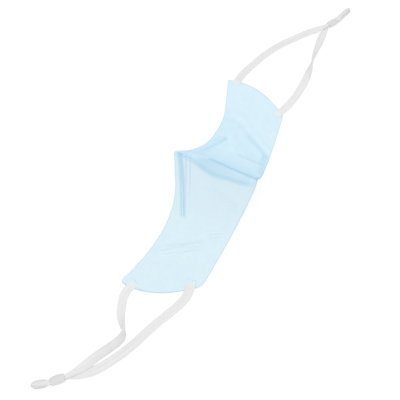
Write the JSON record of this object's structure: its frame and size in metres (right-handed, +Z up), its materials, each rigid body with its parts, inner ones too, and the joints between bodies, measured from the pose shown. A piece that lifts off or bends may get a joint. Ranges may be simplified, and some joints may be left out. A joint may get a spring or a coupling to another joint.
{
  "type": "nose cover",
  "caption": "Light-blue non-woven cover for the nose, folded down its middle into a low tent, with a bendable wire along the nose edge and an elastic ear loop with a slide bead at each end.",
  "frame": {"origin": "middle of the whole object's footprint, on the surface it lies on", "axes": "+X from the left ear loop to the right one, +Y from the panel's lower edge towards its nose edge, +Z up"},
  "size_m": [0.3834, 0.086, 0.0269],
  "materials": {
    "panel": "matte light-blue non-woven",
    "wire": "plastic-coated wire seen through the cloth",
    "elastic": "white knitted elastic",
    "bead": "soft off-white silicone"
  },
  "bodies": {
    "root": {"panel": "panel", "nose_wire": "wire", "ear_loop_left": "elastic", "ear_loop_right": "elastic", "adjuster_left": "bead", "adjuster_right": "bead"}
  },
  "joints": []
}
